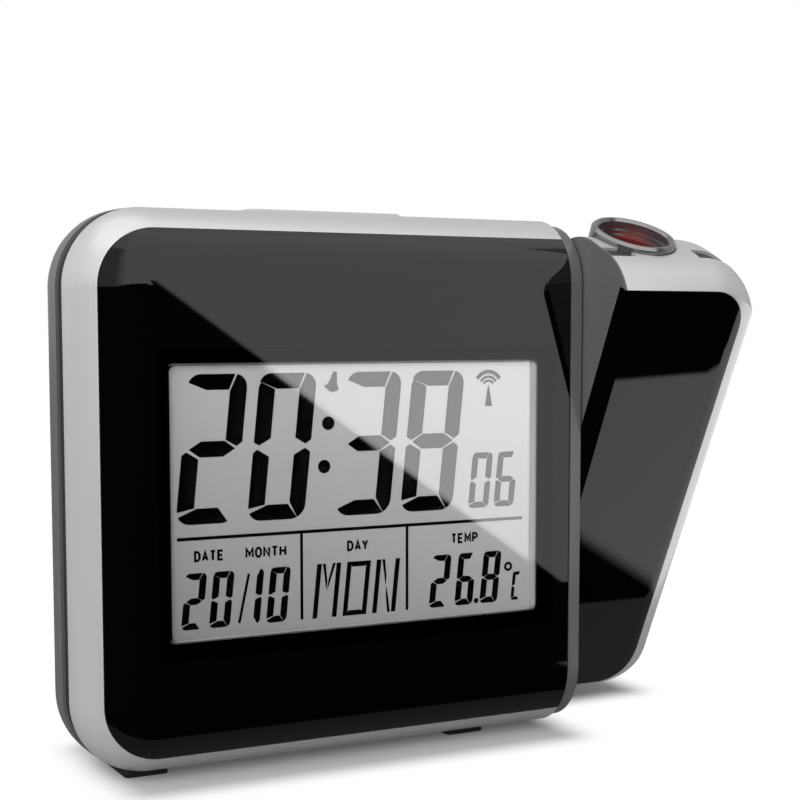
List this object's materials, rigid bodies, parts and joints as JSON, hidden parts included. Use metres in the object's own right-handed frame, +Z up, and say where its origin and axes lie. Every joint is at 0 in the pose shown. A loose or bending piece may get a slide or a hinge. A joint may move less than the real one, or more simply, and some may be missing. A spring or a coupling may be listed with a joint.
{
  "type": "projection alarm clock",
  "caption": "Upright digital alarm clock with a pillowed black front, grey liquid-crystal display and a swivelling projector arm with focus ring at its side.",
  "frame": {"origin": "on the table, under the middle of the clock's whole width and depth", "axes": "+X to the right seen from the front, towards the projector arm; -Y towards the front; +Z up"},
  "size_m": [0.1394, 0.0618, 0.1042],
  "materials": {
    "silver_shell": "satin silver paint",
    "dark_shell": "glossy anthracite",
    "dark_band": "satin dark grey",
    "black_window": "glossy, black printed border, clear display area",
    "black_print": "matte print",
    "display_glass": "grey liquid-crystal glass with black segments",
    "white_plastic": "matte white",
    "strip_rubber": "matte, banded",
    "board": "green solder mask",
    "chip": "matte black",
    "connector": "natural nylon",
    "steel": "zinc plated",
    "foot_rubber": "matte black",
    "key_dark": "matte",
    "cell_sleeve": "plain printed sleeve",
    "contact": "nickel plated",
    "ferrite": "matte ferrite",
    "copper": "enamelled copper winding",
    "lead_sheath": "flexible black sheath",
    "washer": "natural nylon",
    "black_plastic": "matte black",
    "clear_lens": "polished",
    "red_lens": "polished, lit red",
    "slide_glass": "dark numeral display glass",
    "led_lens": "clear red",
    "black_knurl": "matte black with fine grooves",
    "silver_ring": "bright silver plating"
  },
  "bodies": {
    "clock": {"front_bezel": "silver_shell", "front_window": "black_window", "window_mask": "black_print", "lcd_glass": "display_glass", "lcd_reflector": "white_plastic", "lcd_frame": "white_plastic", "connector_strips": "strip_rubber", "main_board": "board", "board_screws": "steel", "controller_chip": "chip", "lead_socket": "connector", "mid_frame": "dark_band", "rear_housing": "dark_shell", "end_plate": "dark_shell", "housing_screws": "steel", "feet": "foot_rubber", "snooze_switch": "chip", "key_board": "board", "key_switches": "chip", "slide_switches": "steel", "battery_cells": "cell_sleeve", "battery_contacts": "contact", "power_inlet": "black_plastic", "buzzer": "black_plastic", "antenna_rod": "ferrite", "antenna_coil": "copper", "body_lead": "lead_sheath"},
    "arm": {"arm_bezel": "silver_shell", "arm_panel": "black_window", "arm_cap": "dark_shell", "arm_mid_frame": "dark_band", "arm_housing": "silver_shell", "arm_screws": "steel", "pivot_hub": "black_plastic", "friction_washer": "washer", "retaining_ring": "steel", "lens_barrel": "black_plastic", "projection_slide": "slide_glass", "condenser_lens": "clear_lens", "led_board": "board", "projector_led": "led_lens", "arm_lead": "lead_sheath"},
    "focus": {"focus_ring": "silver_ring"},
    "objective": {"objective_cell": "black_knurl", "objective_lens": "red_lens"},
    "snooze": {"snooze_bar": "silver_shell"},
    "mode": {"mode_key": "key_dark"},
    "set": {"set_key": "key_dark"},
    "up": {"up_key": "key_dark"},
    "down": {"down_key": "key_dark"},
    "light": {"light_key": "key_dark"},
    "alarm_slider": {"alarm_knob": "key_dark"},
    "projection_slider": {"projection_knob": "key_dark"},
    "door": {"battery_door": "dark_shell"}
  },
  "joints": [
    {"name": "arm_swivel", "type": "hinge", "parent": "clock", "child": "arm", "pos_m": [0.0308, 0.00215, 0.05203], "axis": [1, 0, 0], "range_deg": [-115, 65]},
    {"name": "focus_turn", "type": "hinge", "parent": "arm", "child": "focus", "pos_m": [0.04347, 0.00447, 0.05311], "axis": [0, -0.4226, 0.9063], "range_deg": [-75, 75]},
    {"name": "objective_slide", "type": "slide", "parent": "arm", "child": "objective", "axis": [0, -0.4226, 0.9063], "range_m": [-0.00105, 0.00105]},
    {"name": "snooze_press", "type": "slide", "parent": "clock", "child": "snooze", "axis": [0, 0, -1], "range_m": [0, 0.0007], "stiffness_N_per_m": 400, "springref_m": -0.001},
    {"name": "mode_press", "type": "slide", "parent": "clock", "child": "mode", "axis": [0, -1, 0], "range_m": [0, 0.0005], "stiffness_N_per_m": 400, "springref_m": -0.0005},
    {"name": "set_press", "type": "slide", "parent": "clock", "child": "set", "axis": [0, -1, 0], "range_m": [0, 0.0005], "stiffness_N_per_m": 400, "springref_m": -0.0005},
    {"name": "up_press", "type": "slide", "parent": "clock", "child": "up", "axis": [0, -1, 0], "range_m": [0, 0.0005], "stiffness_N_per_m": 400, "springref_m": -0.0005},
    {"name": "down_press", "type": "slide", "parent": "clock", "child": "down", "axis": [0, -1, 0], "range_m": [0, 0.0005], "stiffness_N_per_m": 400, "springref_m": -0.0005},
    {"name": "light_press", "type": "slide", "parent": "clock", "child": "light", "axis": [0, -1, 0], "range_m": [0, 0.0005], "stiffness_N_per_m": 400, "springref_m": -0.0005},
    {"name": "alarm_slide", "type": "slide", "parent": "clock", "child": "alarm_slider", "axis": [1, 0, 0], "range_m": [0, 0.003]},
    {"name": "projection_slide", "type": "slide", "parent": "clock", "child": "projection_slider", "axis": [1, 0, 0], "range_m": [0, 0.003]},
    {"name": "door_removal", "type": "slide", "parent": "clock", "child": "door", "axis": [0, 1, 0], "range_m": [0, 0.014]}
  ],
  "couplings": [
    {"joint": "objective_slide", "follows": "focus_turn", "m_per_rad": 0.000764}
  ]
}
